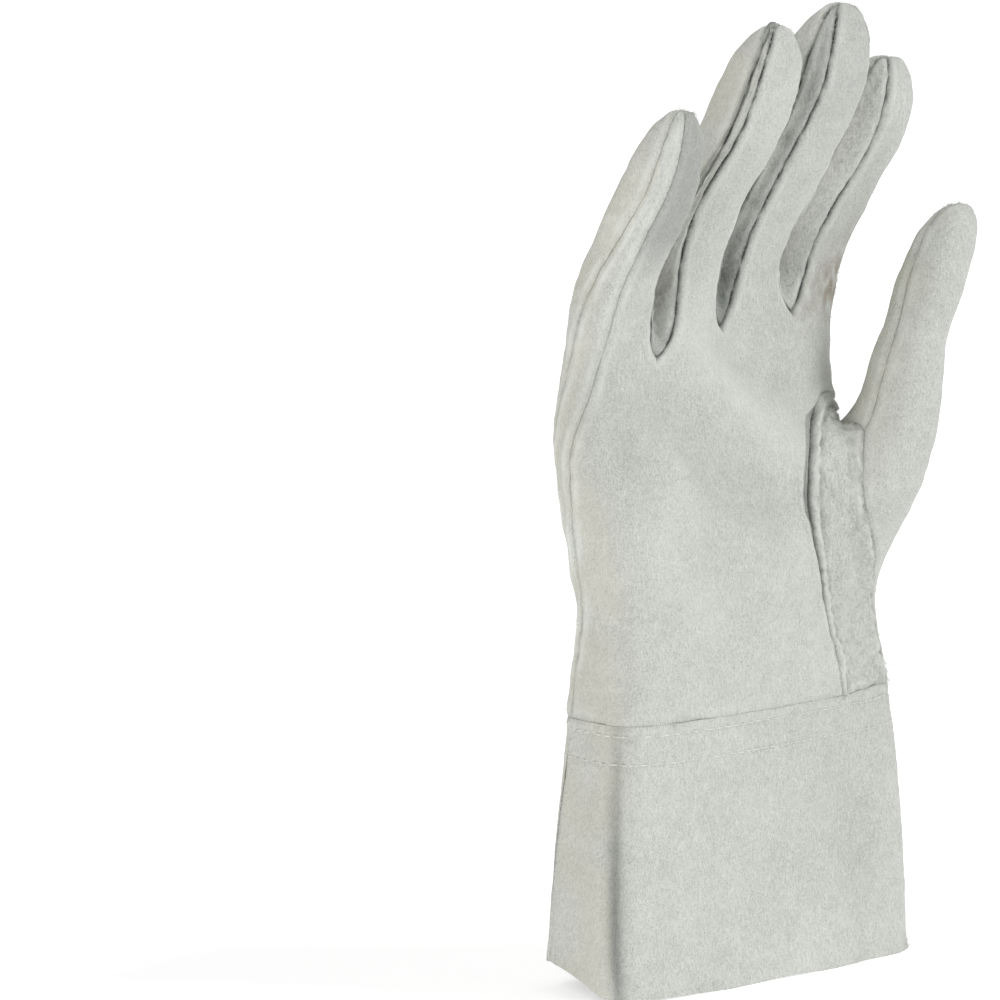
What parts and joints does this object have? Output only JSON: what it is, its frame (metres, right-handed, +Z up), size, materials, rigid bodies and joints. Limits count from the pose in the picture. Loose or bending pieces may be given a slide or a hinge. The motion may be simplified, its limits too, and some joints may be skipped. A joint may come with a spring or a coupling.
{
  "type": "split leather work glove",
  "caption": "Right-hand work glove in pale grey split leather, with a gauntlet cuff, side strips on the fingers and a set-in thumb, standing on its cuff.",
  "frame": {"origin": "within 1 mm of the centre of the bounding box, on the plane of the cuff's rim", "axes": "+Z up from the cuff's rim to the fingertips, -Y out of the palm, +X towards the thumb"},
  "size_m": [0.1285, 0.0604, 0.258],
  "materials": {
    "suede": "split leather with a short open nap",
    "fuzzy_suede": "split leather with a long raised nap",
    "thread": "twisted off-white sewing thread"
  },
  "bodies": {
    "root": {"cuff": "suede", "palm": "suede", "back_little": "suede", "back_ring": "suede", "back_middle": "suede", "back_index": "suede", "side_strip": "suede", "fourchette_little_ring": "suede", "fourchette_ring_middle": "suede", "fourchette_middle_index": "suede", "thumb_front": "suede", "thumb_back": "suede", "thumb_strip": "suede", "thumb_gusset": "fuzzy_suede"}
  },
  "joints": []
}
